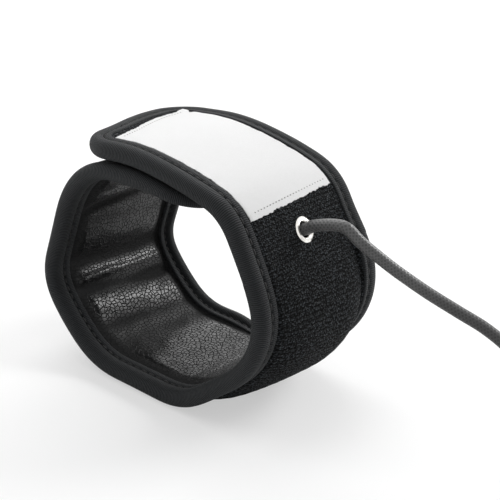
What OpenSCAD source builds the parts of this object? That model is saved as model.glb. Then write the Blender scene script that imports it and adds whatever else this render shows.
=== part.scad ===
// Flexible heater strip, closed into a loop by a hook-and-loop flap, with a cable that
// leaves through an eyelet and ends in a USB plug.
//
// The strip lies along a path in the XZ plane. A place on it is given by
//   s  the distance along the strip, 0 at the middle of its base, growing towards the flap
//   n  the height over the middle of the laminate, growing outwards
//   y  the distance across the strip
// The base rests on z = 0 and the loop's axis runs along Y.

/* [Strip] */
// Width of the strip over its edge binding
strip_w = 50; // [42:1:62]
// Length of the strip along its middle, before it was closed into a loop
strip_len = 253; // [212:1:312]
// Radius of the strip's rounded corners
corner_r = 12; // [9:0.5:13.5]
// Length of the flap, from the eyelet's end to the rounded end
flap_len = 60; // [57:1:72]

/* [Layers] */
// Thickness of the soft lining that touches the barrel
lining_t = 0.7; // [0.5:0.1:1.1]
// Thickness of the plastic film that carries the heating track
film_t = 0.2; // [0.1:0.05:0.4]
// Thickness of the etched heating track
track_t = 0.1; // [0.05:0.05:0.2]
// Thickness of the foam pad
foam_t = 1.9; // [1.6:0.1:3]
// Thickness of the outer loop pile fabric
pile_t = 0.9; // [0.6:0.1:1.3]

/* [Edge binding] */
// Width of the binding tape on each face
binding_w = 6.2; // [5.6:0.1:7]
// Width of the rounded roll at the edge
roll_w = 4.1; // [3.6:0.1:4.6]
// Height of the roll over the laminate
roll_rise = 0.5; // [0.4:0.05:0.8]
// Thickness of the tape beside the roll
tape_t = 0.35; // [0.25:0.05:0.45]

/* [Label and hook patch] */
// Length of the sewn label
label_len = 48; // [38:1:50]
// Width of the sewn label
label_w = 35; // [24:1:36]
// Thickness of the label
label_t = 0.25; // [0.15:0.05:0.4]
// Length of the hook patch under the flap
hook_len = 25; // [18:1:25]
// Width of the hook patch
hook_w = 34; // [24:1:36]
// Height of the hook patch with its hooks
hook_h = 0.95; // [0.7:0.05:1.1]

/* [Cable] */
// Diameter of the cable
cord_d = 3.2; // [2.6:0.1:3.8]
// Diameter of the eyelet's flange
eyelet_d = 7; // [6:0.1:7.4]
// Diameter of the eyelet's hole
eyelet_hole_d = 4; // [3.9:0.1:4.6]
// Turns of the stored cable
coil_turns = 9.5; // [5.5:1:10.5]
// Widest radius of the stored cable's turns
coil_r = 21.4; // [19:0.2:26]

/* [Plug] */
// Width of the plug's housing
plug_w = 16; // [14:0.5:18]
// Thickness of the plug's housing
plug_t = 8; // [7:0.5:9]
// Length of the plug's housing
plug_len = 20; // [16:1:26]

/* [Hidden] */

eps = 0.01;
clearance = 0.3;                      // between pieces of different bodies

// ---- Laminate, from the lining at the inside to the pile fabric at the outside ----
laminate_t = lining_t + film_t + track_t + foam_t + pile_t;
half_t = laminate_t / 2;
lining_top = lining_t - half_t;
film_top = lining_top + film_t;
track_top = film_top + track_t;
foam_top = track_top + foam_t;

roll_half = half_t + roll_rise;
half_w = strip_w / 2;
edge_inset = 1.6;                     // how far the laminate stops inside the binding's edge
inner_half_w = half_w - edge_inset;

// ---- Path of the strip ----
// Each stretch is [length, bend in degrees]. One branch climbs on the right and carries the
// eyelet and the flap. The other climbs on the left and ends under the flap.
base_flat = 8;
eyelet_flat = 8;
end_flat = corner_r + 2;
step_len = 3.5;                       // longest step along a bend
lap_step = 2 * roll_half + clearance; // from the inner end's middle to the flap's middle

right_bends = [[12, 34], [14, 10], [14, 33], [12, 36], [9, 9]];
flap_bends = [[12, 43], [10, 5], [10, 4]];
left_bends = [[14, 37], [14, 14], [12, 52]];
left_wall = 14;
shoulder_bends = [[10, 20], [14, 49]];
lap_bends = [[12, 12.5], [4, 3.5]];

function total(stretches, i = 0) = i == len(stretches) ? 0 : stretches[i][0] + total(stretches, i + 1);
fixed_len = 2 * base_flat + eyelet_flat + flap_len + end_flat;
bend_scale = (strip_len - fixed_len)
    / (total(concat(right_bends, left_bends, shoulder_bends, lap_bends)) + left_wall);
function scaled(bends) = [for (b = bends) [b[0] * bend_scale, b[1]]];

right_stretches = concat(
    [[base_flat, 0]], scaled(right_bends), [[eyelet_flat, 0]], flap_bends,
    [[flap_len - total(flap_bends) - end_flat, 14], [end_flat, 0]]
);
function left_branch(wall) = concat(
    [[base_flat, 0]], scaled(left_bends), [[wall, 0]], scaled(shoulder_bends), scaled(lap_bends),
    [[end_flat, 0]]
);

// End of a stretch of length l that starts at p = [x, z, heading, s]
function stretch_end(p, l, bend) =
    bend == 0
        ? [p[0] + l * cos(p[2]), p[1] + l * sin(p[2]), p[2], p[3] + l]
        : let (r = l * 180 / (bend * PI))
          [p[0] + r * (sin(p[2] + bend) - sin(p[2])), p[1] + r * (cos(p[2]) - cos(p[2] + bend)),
           p[2] + bend, p[3] + l];

// Starts of all stretches, and the end of the last
function walk(stretches, p, i = 0) =
    i == len(stretches)
        ? [p]
        : concat([p], walk(stretches, stretch_end(p, stretches[i][0], stretches[i][1]), i + 1));

// Place and heading at distance s along a branch
function stretch_at(starts, s, i) =
    i == 0 || s >= starts[i][3] - eps ? i : stretch_at(starts, s, i - 1);
function on_branch(stretches, starts, s) =
    let (i = stretch_at(starts, s, len(stretches) - 1),
         l = max(0, s - starts[i][3]),
         bend = stretches[i][1] * l / stretches[i][0])
    stretch_end(starts[i], l, bend);

function last(list) = list[len(list) - 1];
function reversed(list) = [for (i = [len(list) - 1 : -1 : 0]) list[i]];

base_start = [0, roll_half, 0, 0];
right_walk = walk(right_stretches, base_start);
flap_end = last(right_walk)[3];

// The left wall is as tall as it takes to bring the inner end one step under the flap. A lower
// wall is tried first, and the least distance between the two layers says how much it lacks.
low_wall = left_wall * bend_scale - 3;
low_walk = walk(left_branch(low_wall), base_start);
lap_len = total(scaled(lap_bends)) + end_flat;
low_gap = min([
    for (a = [0 : 2 : lap_len])
        let (p = on_branch(left_branch(low_wall), low_walk, last(low_walk)[3] - a))
        for (b = [0 : 0.5 : flap_len])
            let (q = on_branch(right_stretches, right_walk, flap_end - b))
            norm([q[0] + p[0], q[1] - p[1]])
]);
wall_heading = low_walk[1 + len(left_bends)][2];
left_stretches = left_branch(low_wall + (low_gap - lap_step) / sin(wall_heading));
left_walk = walk(left_stretches, base_start);
inner_end = -last(left_walk)[3];

// Middle of the laminate at s, before the loop is centred: [x, z, heading towards growing s]
function middle(s) =
    s >= 0
        ? let (p = on_branch(right_stretches, right_walk, s)) [p[0], p[1], p[2]]
        : let (p = on_branch(left_stretches, left_walk, -s)) [-p[0], p[1], -p[2]];

// Distances at which the strip's outline has a corner point
function steps_of(stretches, starts) = [
    for (i = [0 : len(stretches) - 1])
        let (parts = stretches[i][1] == 0 ? 1 : ceil(stretches[i][0] / step_len))
        for (k = [0 : parts - 1])
            starts[i][3] + stretches[i][0] * k / parts
];
right_steps = steps_of(right_stretches, right_walk);
left_steps = steps_of(left_stretches, left_walk);
all_steps = concat(
    [inner_end], [for (s = reversed(left_steps)) if (s > eps) -s],
    [for (s = right_steps) if (s > eps) s], [flap_end]
);
function steps(s0, s1, marks = []) =
    concat([s0], [for (s = concat(marks, all_steps)) if (s > s0 + eps && s < s1 - eps) s], [s1]);

// The loop is centred over the origin
edge_x = [for (s = all_steps) let (p = middle(s)) p[0] + roll_half * sin(p[2])];
loop_x = -(min(edge_x) + max(edge_x)) / 2;

function place(s, n) =
    let (p = middle(s))
    [loop_x + p[0] + n * sin(p[2]), p[1] - n * cos(p[2])];
function place3(s, y, n) = let (q = place(s, n)) [q[0], y, q[1]];

// ---- Body and flap ----
body_end = flap_end - flap_len;       // the strip's body stops where the flap starts to bend
flap_start = body_end + clearance + 0.06;
label_end = flap_end - 8.5;
label_start = label_end - label_len;
hook_inset = 7;                       // from the flap's binding
hook_start = flap_end - binding_w - hook_inset - hook_len;
hook_plate = 0.45;                    // thickness of the hook patch without its hooks
hook_pitch = 1.6;
hook_seat = 0.05;                     // the glue under the patch

// ---- Eyelet ----
eyelet_s = body_end - eyelet_flat / 2;
tube_wall = 0.4;
tube_r = eyelet_hole_d / 2 + tube_wall;
bore_gap = 0.05;
washer_t = 0.5;
washer_r = eyelet_d / 2 - 0.2;
washer_n = foam_top - washer_t;
lip_t = 0.35;
lip_r = tube_r + 0.5;
pocket_r = eyelet_d / 2 + 0.3;

// ---- Cable stop and leads ----
stop_r = 3.2;
stop_top = track_top + 0.9;
boss_len = 4;                         // from the eyelet's axis to the flat face the leads leave
lead_r = 0.35;
lead_y = 1.05;
lead_start = eyelet_s - boss_len;
lead_end = lead_start - 7;
sleeve_len = 3;
sleeve_bore = lead_r + 0.05;
sleeve_r = sleeve_bore + 0.12;
lead_n = film_top + sleeve_r + 0.03;
pad_len = 2;
pad_w = 1.5;
pad_h = 0.9;
solder = 0.02;                        // under the pads and at their ends
channel_half_w = lead_y + pad_w / 2 + 0.3;
channel_top = lead_n + sleeve_r + 0.2;

// ---- Heater ----
film_w = strip_w - 2 * binding_w - 3.6;
track_w = 1.6;
track_pitch = 5;
track_out = lead_end - pad_len - solder;
function step_below(s) = max([for (t = all_steps) if (t <= s) t]);
function step_above(s) = min([for (t = all_steps) if (t > s + eps) t]);
link_from = step_below(track_out - 4);
link_to = step_above(link_from);
cross_s = inner_end + end_flat - 5;
turn_s = cross_s + 3;
track_marks = [cross_s, cross_s + track_w, turn_s, turn_s + track_w];
film_start = cross_s - 2;

// ---- Cable ----
cord_r = cord_d / 2;
// Middle of the cable, from above the eyelet down to the floor beside the loop: x from the
// eyelet, y, and z for an eyelet at nominal_height, which is stretched to the eyelet's height
nominal_height = 49.8;
cord_fall = [
    [12.5, 1, 54.9], [17, 2.5, 51.8], [21.5, 5, 48.4], [26.5, 7, 45.4], [34, 9.5, 41.8],
    [42, 11.5, 38.9], [50, 13, 36.3], [58, 13.6, 32.6], [66, 13.6, 27.2], [73, 13.2, 20.4],
    [79, 12.4, 13.6], [85, 11.3, 7.8], [91, 10.2, 4], [96, 9.6, 2.2], [100, 9.4, 1.6],
    [104, 9.4, 1.6]
];
function above_floor(p) = [p[0], p[1], max(cord_r, p[2])];
eyelet_at = place(eyelet_s, 0);
cord_stretch = eyelet_at[1] / nominal_height;
cord_route = [for (p = cord_fall) above_floor([eyelet_at[0] + p[0], p[1], p[2] * cord_stretch])];
cord_sides = 8;
cord_parts = 3;                       // rings from one point of the route to the next
coil_layers = 4;
coil_pitch = cord_d + 0.5;
layer_turns = coil_turns / coil_layers;
coil_rings = 24;                      // in each turn
coil_sides = 6;
coil_start = [last(cord_route)[0] + cord_d, last(cord_route)[1], cord_r];
coil_middle = [coil_start[0], coil_start[1] - coil_r];
lift_turns = 0.2;                     // end of the last turn, which rises to the plug
swing_r = coil_r / 2;                 // the tail swings in over the turns
swing_parts = 6;

// ---- Plug. It lies on the stored cable. ----
plug_rest = 0.15;
plug_z = cord_d + (coil_layers - 1) * coil_pitch + plug_rest + plug_t / 2;
strain_len = 10;
strain_r0 = cord_r + 0.6;
strain_r1 = cord_r + 1.5;
shell_w = 12;
shell_t = 4.5;
shell_wall = 0.3;
shell_len = 12;
tongue_t = 1.8;
contact_t = 0.1;

// ---------------------------------------------------------------------------
// Shared shapes

// A layer of the strip from s0 to s1 and from n0 to n1, w wide, with its middle at y
module layer(s0, s1, n0, n1, w, y = 0, marks = []) {
    at = steps(s0, s1, marks);
    outline = concat([for (s = at) place(s, n1)], [for (s = reversed(at)) place(s, n0)]);
    translate([0, y + w / 2, 0])
        rotate([90, 0, 0])
            linear_extrude(w)
                polygon(outline);
}

// Local frame at distance s: +Z outwards, +X towards the strip's inner end
module on_strip(s) {
    translate(place3(s, 0, 0))
        rotate([0, 180 - middle(s)[2], 0])
            children();
}

corner_parts = 6;
function quarter(from) = [for (k = [0 : corner_parts]) from + 90 * k / corner_parts];

// What a rounded corner of the laminate leaves out. The strip's end is at s, and the strip
// lies from there towards local +X where toward is 1, and towards local -X where it is -1.
module corner_cut(s, toward) {
    r = corner_r - edge_inset;
    arc = [for (a = quarter(90)) [r + r * cos(a), inner_half_w - r + r * sin(a)]];
    // The first and last facets run on past the laminate's faces
    from = 2 * arc[0] - arc[1];
    to = 2 * arc[corner_parts] - arc[corner_parts - 1];
    outside = inner_half_w + 1;
    piece = concat(
        [[-1, to[1]], [-1, outside], [from[0], outside], from],
        [for (k = [1 : corner_parts - 1]) arc[k]],
        [to]
    );
    on_strip(s)
        for (side = [-1, 1])
            translate([0, 0, -2 * laminate_t])
                linear_extrude(4 * laminate_t)
                    polygon([for (p = piece) [toward * p[0], side * p[1]]]);
}

// A laminate layer of the strip's body, with the rounded corners of its inner end
module body_layer(n0, n1) {
    end = inner_end + edge_inset;
    difference() {
        layer(end, body_end, n0, n1, 2 * inner_half_w);
        corner_cut(end, -1);
    }
}

// A laminate layer of the flap, with its rounded end
module flap_layer(n0, n1) {
    end = flap_end - edge_inset;
    difference() {
        layer(flap_start, end, n0, n1, 2 * inner_half_w);
        corner_cut(end, 1);
    }
}

// Closed skin over rings of points, all with the same number of points. cap holds the faces
// that close the last ring; the first ring gets the same, turned over.
module skin(rings, cap = []) {
    n = len(rings[0]);
    m = len(rings);
    sides = [
        for (i = [0 : m - 2])
            for (j = [0 : n - 1])
                let (a = i * n + j, b = i * n + (j + 1) % n)
                for (f = [[a, b, a + n], [b, b + n, a + n]])
                    f
    ];
    faces = len(cap) > 0 ? cap : [[for (j = [0 : n - 1]) j]];
    ends = concat(
        [for (f = faces) reversed(f)],
        [for (f = faces) [for (j = f) (m - 1) * n + j]]
    );
    polyhedron([for (r = rings) for (p = r) p], concat(sides, ends));
}

// Rings of a round tube along points, each square to the path
function unit(v) = v / norm(v);
function ring(p, t, r, sides) =
    let (u = unit(cross(t, abs(t[2]) > 0.99 ? [0, 1, 0] : [0, 0, 1])), v = cross(u, t))
    [for (k = [0 : sides - 1]) p + r * (cos(360 * k / sides) * u + sin(360 * k / sides) * v)];
function tube_rings(path, r, sides) = [
    for (i = [0 : len(path) - 1])
        ring(path[i], unit(path[min(i + 1, len(path) - 1)] - path[max(i - 1, 0)]), r, sides)
];
module tube(path, r, sides) {
    skin(tube_rings(path, r, sides));
}

// Smooth curve through points, with parts steps from one to the next
function smooth(points, parts) = concat(
    [
        for (i = [0 : len(points) - 2])
            let (a = points[max(i - 1, 0)], b = points[i], c = points[i + 1],
                 d = points[min(i + 2, len(points) - 1)])
            for (k = [0 : parts - 1])
                let (t = k / parts)
                b + (c - a) * t / 2 + (a - 2.5 * b + 2 * c - d / 2) * t * t
                    + (1.5 * b - a / 2 - 1.5 * c + d / 2) * t * t * t
    ],
    [last(points)]
);

// ---------------------------------------------------------------------------
// Laminate of the strip's body

module leather_lining() {
    color("#2b2c2e")
        body_layer(-half_t, lining_top);
}

module heater_film() {
    color("#b8743a")
        layer(film_start, lead_start, lining_top, film_top, film_w);
}

// One unbroken track: three runs on each side of the middle, joined by links
module track(s0, s1, w, y) {
    layer(s0, s1, film_top, track_top, w, y, track_marks);
}
module heater_track() {
    middle_run = 1.5 * track_pitch;
    outer_run = 2.5 * track_pitch;
    color("#d08a52") {
        for (side = [-1, 1]) {
            track(turn_s, track_out, track_w, side * lead_y);
            track(turn_s, turn_s + track_w, middle_run - lead_y + track_w, side * (middle_run + lead_y) / 2);
            track(turn_s, link_to, track_w, side * middle_run);
            track(link_from, link_to, track_pitch + track_w, side * (middle_run + outer_run) / 2);
            track(cross_s, link_to, track_w, side * outer_run);
        }
        track(cross_s, cross_s + track_w, 2 * outer_run + track_w, 0);
    }
}

module foam_pad() {
    color("#4a4a4c")
        difference() {
            body_layer(track_top, foam_top);
            on_strip(eyelet_s)
                translate([0, 0, -laminate_t])
                    cylinder(h = 2 * laminate_t, r = pocket_r, $fn = 48);
            layer(track_out - 0.3, eyelet_s, track_top - 1, channel_top, 2 * channel_half_w);
        }
}

module pile_fabric() {
    color("#1b1b1d")
        difference() {
            body_layer(foam_top, half_t);
            on_strip(eyelet_s)
                cylinder(h = laminate_t, r = tube_r + bore_gap, $fn = 48);
        }
}

// ---------------------------------------------------------------------------
// Edge binding: a tape folded round the edge, with a roll, a stitched groove and a flat margin

crest_half = 0.5;                     // half width of the roll's flattened crest
function binding_top() = concat(
    [[half_t + tape_t, binding_w], [half_t + tape_t, roll_w + 0.4], [half_t + 0.1, roll_w]],
    [[roll_half, roll_half + crest_half], [roll_half, roll_half - crest_half]],
    [for (a = [55, 25]) [roll_half * sin(a), roll_half * (1 - cos(a))]]
);
function binding_outline() = concat(
    binding_top(),
    [[0, 0]],
    [for (p = reversed(binding_top())) [-p[0], p[1]]],
    [[-half_t, binding_w], [-half_t, edge_inset], [half_t, edge_inset], [half_t, binding_w]]
);

// Faces that close the binding's cut ends: fans of triangles round the outline's four inner
// corners, which come last in the outline
function fan(corner, from, to) = [for (k = [from : to - 1]) [k, k + 1, corner]];
function binding_cap() =
    let (crest = len(binding_top()), low = 2 * crest - 2, inner = 2 * crest + 1)
    concat(
        fan(inner + 3, 0, 2), [[2, inner + 2, inner + 3]],
        fan(inner + 2, 2, crest - 1), [[crest - 1, inner + 1, inner + 2]],
        fan(inner + 1, crest - 1, low), [[low, inner, inner + 1]],
        fan(inner, low, inner - 1)
    );

// A station of the rim is [s, y, radius, angle]. A point at depth d from the edge lies at
// radius - d from s, y, in the direction of the angle.
function rim_ring(q) = [
    for (p = binding_outline())
        place3(q[0] + (q[2] - p[1]) * cos(q[3]), q[1] + (q[2] - p[1]) * sin(q[3]), p[0])
];
function rim_straight(at, angle) = [for (s = at) [s, 0, half_w, angle]];
function rim_corner(s, side, angles) = [
    for (a = angles) [s, side * (half_w - corner_r), corner_r, a]
];

// Binding along one edge, round the end and back. at holds the distances from the cut to the
// first corner, and angle is the direction of the first edge from the strip's middle.
module binding(at, angle) {
    s = last(at);
    side = sin(angle);
    first = [for (k = [1 : corner_parts]) angle + 90 * k / corner_parts];
    second = [for (k = [0 : corner_parts - 1]) angle + 90 + 90 * k / corner_parts];
    rim = concat(
        rim_straight(at, angle), rim_corner(s, side, first), rim_corner(s, -side, second),
        rim_straight(reversed(at), angle + 180)
    );
    skin([for (q = rim) rim_ring(q)], binding_cap());
}

module edge_binding() {
    color("#303135")
        binding(reversed(steps(inner_end + corner_r, body_end)), 90);
}

// ---------------------------------------------------------------------------
// Eyelet, cable stop and leads

module eyelet() {
    hole = eyelet_hole_d / 2;
    rim = eyelet_d / 2;
    lip_n = washer_n - lip_t;
    color("#d8d6ce")
        on_strip(eyelet_s)
            rotate_extrude($fn = 64)
                polygon([
                    [hole, lip_n], [lip_r, lip_n], [lip_r, lip_n + 0.25], [tube_r, washer_n - bore_gap],
                    [tube_r, half_t], [rim, half_t], [rim - 0.05, half_t + 0.3],
                    [rim - 0.5, half_t + 0.6], [rim - 1, half_t + 0.65], [hole + 0.2, half_t + 0.35],
                    [hole, half_t]
                ]);
}

module eyelet_washer() {
    color("#bdbbb3")
        on_strip(eyelet_s)
            translate([0, 0, washer_n])
                difference() {
                    cylinder(h = washer_t, r = washer_r, $fn = 64);
                    translate([0, 0, -1])
                        cylinder(h = washer_t + 2, r = tube_r + bore_gap, $fn = 64);
                }
}

module cable_stop() {
    low = film_top + solder;
    color("#1d1d1f")
        on_strip(eyelet_s)
            translate([0, 0, low]) {
                cylinder(h = stop_top - low, r = stop_r, $fn = 48);
                translate([0, -channel_half_w + 0.2, 0])
                    cube([boss_len, 2 * channel_half_w - 0.4, stop_top - low]);
            }
}

module lead(side) {
    parts = 4;
    from = lead_start - solder;
    to = lead_end + 2 * solder;
    tube(
        [for (k = [0 : parts]) place3(from + (to - from) * k / parts, side * lead_y, lead_n)],
        lead_r, cord_sides
    );
}
module lead_positive() {
    color("#a8302a")
        lead(1);
}
module lead_negative() {
    color("#202022")
        lead(-1);
}

module lead_sleeves() {
    at = (lead_start + lead_end) / 2;
    color("#3b3b3e")
        on_strip(at)
            for (side = [-1, 1])
                translate([-sleeve_len / 2, side * lead_y, lead_n])
                    rotate([0, 90, 0])
                        difference() {
                            cylinder(h = sleeve_len, r = sleeve_r, $fn = 32);
                            translate([0, 0, -1])
                                cylinder(h = sleeve_len + 2, r = sleeve_bore, $fn = 32);
                        }
}

module terminal_pads() {
    color("#c9a552")
        on_strip(lead_end - pad_len / 2)
            for (side = [-1, 1])
                translate([-pad_len / 2, side * lead_y - pad_w / 2, film_top + solder])
                    cube([pad_len, pad_w, pad_h]);
}

// ---------------------------------------------------------------------------
// Cable

function cord_path() = [
    for (p = smooth(
        concat([for (n = [stop_top, 3, 6.5]) place3(eyelet_s, 0, n)], cord_route), cord_parts
    ))
        above_floor(p)
];

// The stored cable spirals in on the floor, out on the next layer, and so on. It climbs in the
// half turn where the spiral reverses.
function clamped(v) = max(0, min(1, v));
function coil_height(t, k = 1) =
    k == coil_layers ? 0 : coil_pitch * clamped((t - k * layer_turns + 0.25) * 2) + coil_height(t, k + 1);
function coil_radius(t) =
    let (k = min(coil_layers - 1, floor(t / layer_turns)), u = t - k * layer_turns)
    coil_r - coil_pitch * (k % 2 == 0 ? u : layer_turns - u);
function tail_lift(t) =
    let (u = clamped(1 - (coil_turns - t) / lift_turns))
    (plug_z - cord_r - (coil_layers - 1) * coil_pitch) * u * u * (3 - 2 * u);
function coil_point(t) =
    let (r = coil_radius(t), a = 90 - 360 * t, z = cord_r + coil_height(t) + tail_lift(t))
    [coil_middle[0] + r * cos(a), coil_middle[1] + r * sin(a), z];
coil_loops = [for (k = [0 : coil_turns * coil_rings]) coil_point(k / coil_rings)];

tail_start = last(coil_loops);
cord_tail = [
    for (k = [1 : swing_parts])
        let (a = 90 * k / swing_parts)
        [tail_start[0] - swing_r * sin(a), tail_start[1] + swing_r * (1 - cos(a)), plug_z]
];
plug_start = last(cord_tail) + [0, cord_d, 0];
coil_path = concat([last(cord_path())], coil_loops, cord_tail, [plug_start]);

// Least gap between turns, measured on points more than half a turn apart
coil_gap = min([
    for (i = [0 : len(coil_path) - 1])
        for (j = [i + coil_rings / 2 : 1 : len(coil_path) - 1])
            norm(coil_path[i] - coil_path[j])
]) - cord_d;
function length_of(path, i = 1) =
    i == len(path) ? 0 : norm(path[i] - path[i - 1]) + length_of(path, i + 1);
echo(coil_least_gap = coil_gap, plug_start = plug_start);
echo(cord_length = length_of(cord_path()) + length_of(coil_path), strip_length = flap_end - inner_end);

module cord_run() {
    color("#3c3d3e")
        tube(cord_path(), cord_r, cord_sides);
}

module cord_coil() {
    color("#3c3d3e")
        tube(coil_path, cord_r, coil_sides);
}

// ---------------------------------------------------------------------------
// Plug. Its local +Z runs from the cable towards the plug's mouth.

module at_plug(z = 0) {
    translate(plug_start)
        rotate([-90, 0, 0])
            translate([0, 0, z])
                children();
}

module rounded_block(x, y, z, r) {
    linear_extrude(z) {
        square([x - 2 * r, y], center = true);
        square([x, y - 2 * r], center = true);
        for (i = [-1, 1])
            for (j = [-1, 1])
                translate([i * (x / 2 - r), j * (y / 2 - r)])
                    circle(r, $fn = 32);
    }
}

module plug_strain_relief() {
    rings = 4;
    pitch = strain_len / (rings + 1);
    color("#232325")
        at_plug()
            difference() {
                cylinder(h = strain_len, r1 = strain_r0, r2 = strain_r1, $fn = 48);
                for (k = [1 : rings])
                    translate([0, 0, k * pitch - 0.4])
                        difference() {
                            cylinder(h = 0.8, r = 2 * strain_r1, $fn = 48);
                            translate([0, 0, -1])
                                cylinder(h = 3, r = cord_r + 0.3, $fn = 48);
                        }
            }
}

module plug_housing() {
    grip_depth = 0.5;
    color("#232325")
        at_plug(strain_len)
            difference() {
                rounded_block(plug_w, plug_t, plug_len, 2.4);
                for (side = [-1, 1])
                    for (k = [0 : 3])
                        translate([-plug_w / 2 + 4, side * plug_t / 2 - grip_depth, plug_len / 2 + 2 * k - 4])
                            cube([plug_w - 8, 2 * grip_depth, 0.9]);
            }
}

module plug_shell() {
    window = 2.2;
    color("#cfd0d2")
        at_plug(strain_len + plug_len)
            difference() {
                rounded_block(shell_w, shell_t, shell_len, 0.5);
                translate([-shell_w / 2 + shell_wall, -shell_t / 2 + shell_wall, -1])
                    cube([shell_w - 2 * shell_wall, shell_t - 2 * shell_wall, shell_len + 2]);
                for (side = [-1, 1])
                    translate([side * shell_w / 4 - window / 2, -shell_t, shell_len / 2 - window / 2])
                        cube([window, 2 * shell_t, window]);
            }
}

module plug_tongue() {
    gap = 0.05;
    color("#e9e9e6")
        at_plug(strain_len + plug_len)
            translate([-shell_w / 2 + shell_wall + gap, -shell_t / 2 + shell_wall + gap, 0])
                cube([shell_w - 2 * (shell_wall + gap), tongue_t, shell_len - 0.8]);
}

module plug_contacts() {
    face = -shell_t / 2 + shell_wall + 0.05 + tongue_t;
    color("#d9b75c")
        at_plug(strain_len + plug_len)
            for (x = [-3.5, -1, 1, 3.5])
                translate([x - 0.5, face, 0.6])
                    cube([1, contact_t, shell_len - 3]);
}

// ---------------------------------------------------------------------------
// Flap

module flap_lining() {
    color("#2b2c2e")
        flap_layer(-half_t, lining_top);
}

module flap_foam() {
    color("#4a4a4c")
        flap_layer(lining_top, foam_top);
}

module flap_pile() {
    color("#1b1b1d")
        flap_layer(foam_top, half_t);
}

module flap_binding() {
    color("#303135")
        binding(steps(flap_start, flap_end - corner_r), -90);
}

// Plate with rows of hooks across the strip
module hook_patch() {
    top = -half_t - hook_seat;
    rows = floor(hook_len / hook_pitch);
    hooks = [
        for (k = [0 : rows - 1])
            let (s = hook_start + k * hook_pitch)
            for (q = [[0, hook_plate], [0.1, hook_h], [0.7, hook_h], [0.8, hook_plate]])
                place(s + q[0], top - q[1] + hook_seat)
    ];
    end = hook_start + rows * hook_pitch;
    color("#141415")
        translate([0, hook_w / 2, 0])
            rotate([90, 0, 0])
                linear_extrude(hook_w)
                    polygon(concat(
                        hooks,
                        [place(end, top - hook_plate)],
                        [for (s = reversed(steps(hook_start, end))) place(s, top)]
                    ));
}

module label() {
    color("#f2f2ef")
        layer(label_start, label_end, half_t, half_t + label_t, label_w);
}

// ---------------------------------------------------------------------------
leather_lining();
heater_film();
heater_track();
foam_pad();
pile_fabric();
edge_binding();
eyelet();
eyelet_washer();
cable_stop();
lead_positive();
lead_negative();
lead_sleeves();
terminal_pads();
cord_run();
cord_coil();
plug_strain_relief();
plug_housing();
plug_shell();
plug_tongue();
plug_contacts();
flap_lining();
flap_foam();
flap_pile();
flap_binding();
hook_patch();
label();
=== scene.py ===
"""Heated strap closed into a loop, with its flap, label, eyelet, cable and plug.

Shapes are worked out in millimetres along the strap and become metres when a mesh is made:
  s  distance along the strap, 0 at the middle of its base, growing towards the flap
  y  distance across the strap
  n  height over the middle of the laminate, growing outwards
"""

import math

import bmesh
import bpy
import numpy as np
from mathutils import Matrix, Vector


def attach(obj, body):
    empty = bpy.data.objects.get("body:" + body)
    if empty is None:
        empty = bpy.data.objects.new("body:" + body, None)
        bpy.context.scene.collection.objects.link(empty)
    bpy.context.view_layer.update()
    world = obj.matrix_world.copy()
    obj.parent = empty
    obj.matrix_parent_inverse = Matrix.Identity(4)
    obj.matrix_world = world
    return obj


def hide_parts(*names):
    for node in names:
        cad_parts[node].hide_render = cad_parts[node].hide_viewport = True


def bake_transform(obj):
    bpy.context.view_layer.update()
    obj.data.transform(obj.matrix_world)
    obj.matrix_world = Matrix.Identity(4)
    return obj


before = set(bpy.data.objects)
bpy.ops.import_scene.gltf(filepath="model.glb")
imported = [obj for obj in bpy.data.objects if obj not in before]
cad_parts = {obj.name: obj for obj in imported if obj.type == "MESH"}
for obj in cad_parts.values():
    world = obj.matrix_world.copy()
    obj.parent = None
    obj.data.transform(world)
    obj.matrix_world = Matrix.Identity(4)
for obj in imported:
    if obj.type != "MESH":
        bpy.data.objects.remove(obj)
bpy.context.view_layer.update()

MM = 0.001

# ---- The strap's sizes ----
HALF_WIDTH = 25.0
HALF_THICK = 1.9
ROLL_HALF = 2.4
CORNER_R = 12.0
CORE_HALF_WIDTH = 20.0  # the layers inside the binding
CLOTH_HALF = 19.0  # the cloth that shows between the bindings
EDGE_INSET = 1.6  # how far the layers stop short of the rim
FOAM_TOP = 1.0
LINING_TOP = -1.2
EYELET_S = 73.0
SEAM_S = 66.0  # where the flap's cover is sewn to the body's
FLAP_S = 77.0  # where the flap's foam begins
ROOT_START_S = 76.9  # the flap bends between these two
ROOT_END_S = 84.5
PATH_STEP = 0.1

# ---- Path of the strap: [length, bend in degrees] ----
RIGHT_BRANCH = [
    [8, 0], [12, 34], [14, 10], [14, 33], [12, 36], [9, 9], [8, 0],
    [12, 43], [10, 5], [10, 4], [14, 14], [14, 0],
]
LEFT_BRANCH = [
    [8, 0], [14, 37], [14, 14], [12, 52], [14.05, 0], [10, 20], [14, 49], [12, 12.5], [4, 3.5], [14, 0],
]
LOOP_X = -1.6855
EASE = 2.5  # half length over which one bend eases into the next


def branch_headings(branch):
    """Headings at every PATH_STEP along one branch, starting at the base."""
    lengths = np.cumsum([0] + [b[0] for b in branch])
    bends = np.cumsum([0] + [b[1] for b in branch])
    at = np.arange(0, lengths[-1] + PATH_STEP / 2, PATH_STEP)
    return np.interp(at, lengths, bends)


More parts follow.
